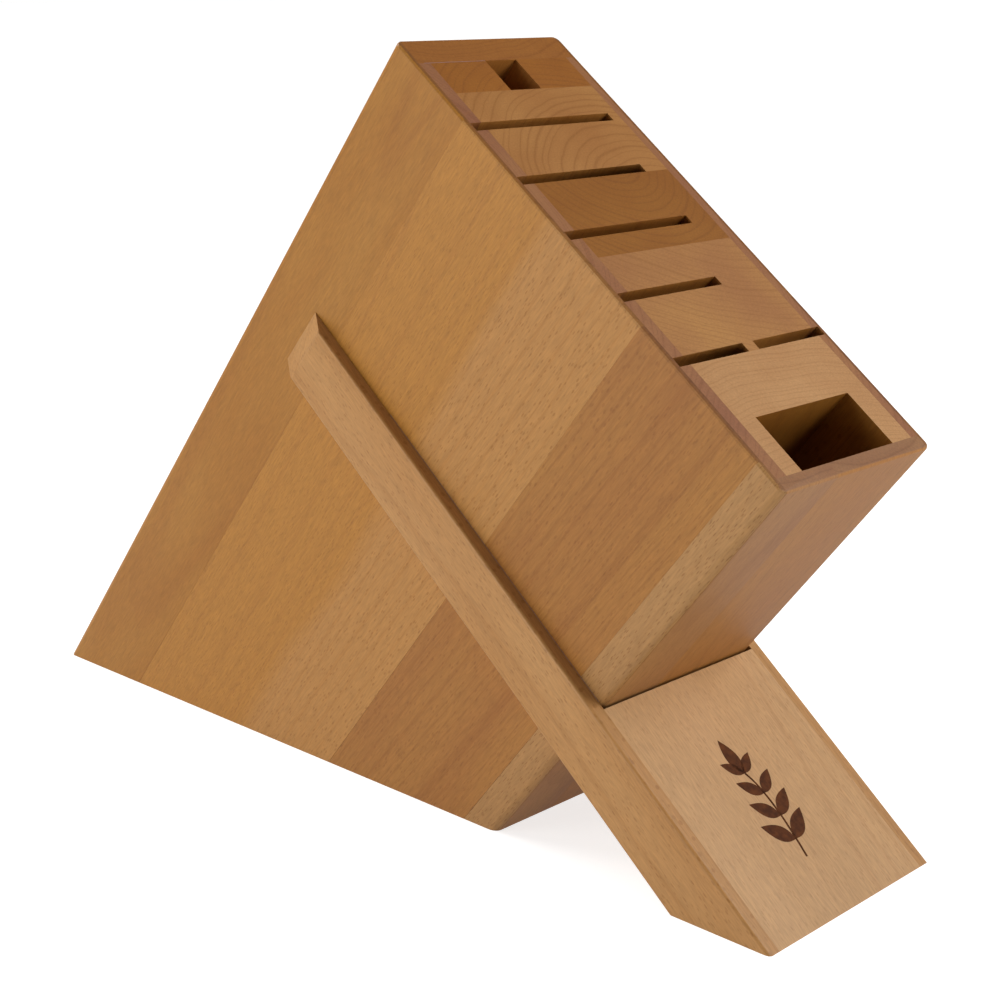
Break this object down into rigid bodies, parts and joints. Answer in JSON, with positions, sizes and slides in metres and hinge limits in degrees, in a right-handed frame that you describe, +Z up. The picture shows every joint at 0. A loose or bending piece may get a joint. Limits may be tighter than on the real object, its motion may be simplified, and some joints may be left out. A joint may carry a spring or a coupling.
{
  "type": "knife block",
  "caption": "Slanted beech countertop knife block with sawn blade slots, a square steel bore and a shears pocket, propped by a forked leg.",
  "frame": {"origin": "centre of the footprint on the table, under the middle of the bounding box", "axes": "+X across the width with the slots opening from the -X side, -Y towards the leg and the front, +Z up"},
  "size_m": [0.0858, 0.3534, 0.252],
  "materials": {
    "beech_pale": "oiled satin",
    "beech_orange": "oiled satin",
    "beech_red": "oiled satin",
    "beech_flecked": "oiled satin",
    "beech_core_dark": "oiled end grain",
    "beech_core_light": "oiled end grain",
    "beech_rose": "oiled end grain",
    "beech_leg": "oiled satin",
    "beech_rail": "oiled satin"
  },
  "bodies": {
    "root": {"left_panel_stave_back": "beech_pale", "left_panel_stave_wide": "beech_orange", "left_panel_stave_dark": "beech_red", "left_panel_stave_front": "beech_flecked", "right_panel_stave_back": "beech_pale", "right_panel_stave_wide": "beech_orange", "right_panel_stave_dark": "beech_red", "right_panel_stave_front": "beech_flecked", "back_board": "beech_core_dark", "steel_spacer_left": "beech_core_dark", "steel_spacer_right": "beech_core_dark", "carver_board_rear": "beech_core_light", "carver_board": "beech_core_light", "chef_board_rear": "beech_core_dark", "chef_board": "beech_core_dark", "utility_board": "beech_core_light", "shears_board": "beech_core_light", "left_liner_strip_1": "beech_rose", "left_liner_strip_2": "beech_rose", "left_liner_strip_3": "beech_rose", "left_liner_strip_4": "beech_rose", "left_liner_strip_5": "beech_rose", "left_liner_strip_6": "beech_rose", "right_liner_strip_1": "beech_rose", "right_liner_strip_2": "beech_rose", "front_panel_stave_narrow": "beech_red", "front_panel_stave_wide": "beech_rose", "leg_rail_left": "beech_rail", "leg_rail_right": "beech_rail", "leg_board": "beech_leg"}
  },
  "joints": []
}
